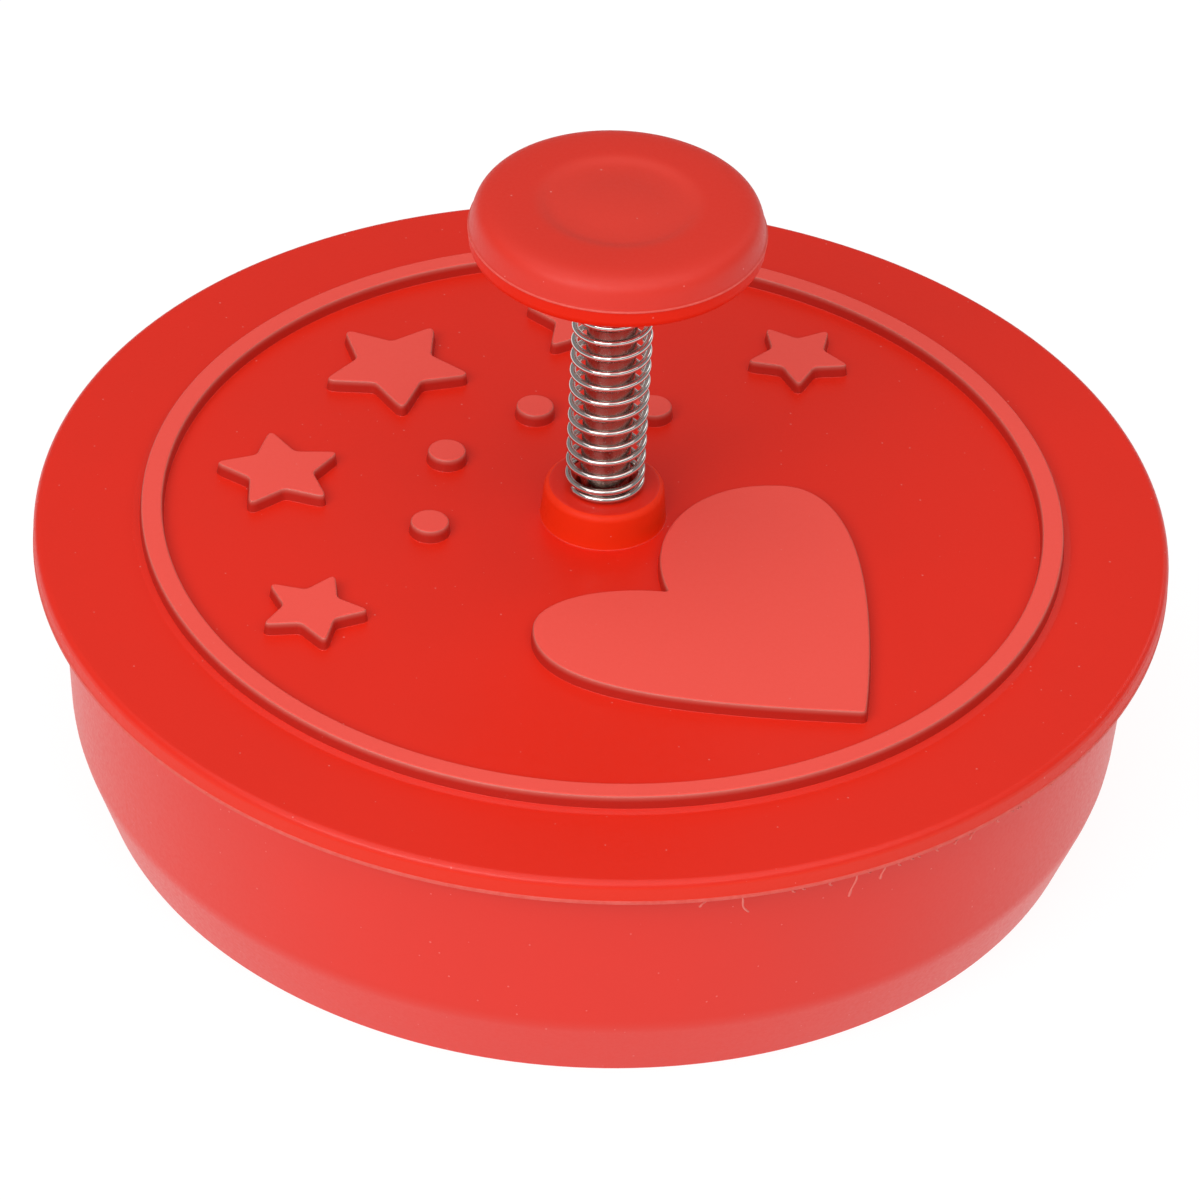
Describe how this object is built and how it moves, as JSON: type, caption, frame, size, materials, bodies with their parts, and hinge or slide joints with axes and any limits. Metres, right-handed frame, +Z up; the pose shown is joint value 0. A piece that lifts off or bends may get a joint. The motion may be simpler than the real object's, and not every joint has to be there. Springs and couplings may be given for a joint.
{
  "type": "cookie stamp",
  "caption": "Round plunger cookie stamp: moulded cutter with flange and bevelled rim, and a sprung knob and rod that press a relief stamp plate onto the dough.",
  "frame": {"origin": "centre of the cutting rim, in the plane that it stands on", "axes": "+Z up along the plunger to the knob, -Y towards the viewer of the picture, +X to the viewer's right"},
  "size_m": [0.0848, 0.0848, 0.0492],
  "materials": {
    "red_plastic": "satin moulded polypropylene",
    "polished_steel": "polished",
    "spring_steel": "bright drawn wire",
    "plated_steel": "plated"
  },
  "bodies": {
    "cutter": {"cutter_body": "red_plastic"},
    "spring": {"return_spring": "spring_steel"},
    "plunger": {"knob": "red_plastic", "plunger_rod": "polished_steel", "stamp_plate": "red_plastic", "stamp_screw": "plated_steel"}
  },
  "joints": [
    {"name": "plunger_turn", "type": "hinge", "parent": "cutter", "child": "spring", "pos_m": [0, 0, 0.02425], "axis": [0, 0, 1], "continuous": true},
    {"name": "plunger_press", "type": "slide", "parent": "spring", "child": "plunger", "axis": [0, 0, -1], "range_m": [0, 0.011], "stiffness_N_per_m": 257, "springref_m": -0.004, "deforming": ["return_spring"]}
  ]
}
